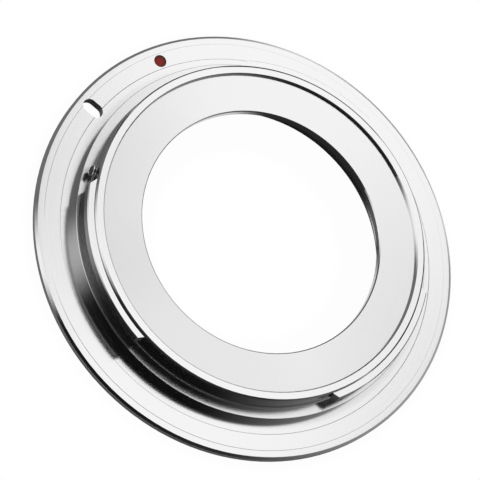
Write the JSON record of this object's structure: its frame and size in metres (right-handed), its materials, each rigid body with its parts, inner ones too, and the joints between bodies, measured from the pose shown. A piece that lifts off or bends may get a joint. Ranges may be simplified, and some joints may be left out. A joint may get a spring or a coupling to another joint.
{
  "type": "lens mount adapter",
  "caption": "Flat metal lens mount adapter ring: a screw-thread lens seat on one face, and on the other a stepped bayonet with lugs, a stop screw, a lock slot and a red index dot.",
  "frame": {"origin": "centre of the lens seat, the flat face that the ring lies on", "axes": "+Z along the optical axis towards the camera, out of the bayonet; +Y from the centre towards the index dot"},
  "size_m": [0.0648, 0.0648, 0.0071],
  "materials": {
    "plated_ring": "bright plating over fine turning marks",
    "black_screw": "black oxide steel, satin",
    "red_enamel": "dull red enamel fill"
  },
  "bodies": {
    "root": {"adapter_ring": "plated_ring", "stop_screw": "black_screw", "index_dot": "red_enamel"}
  },
  "joints": []
}
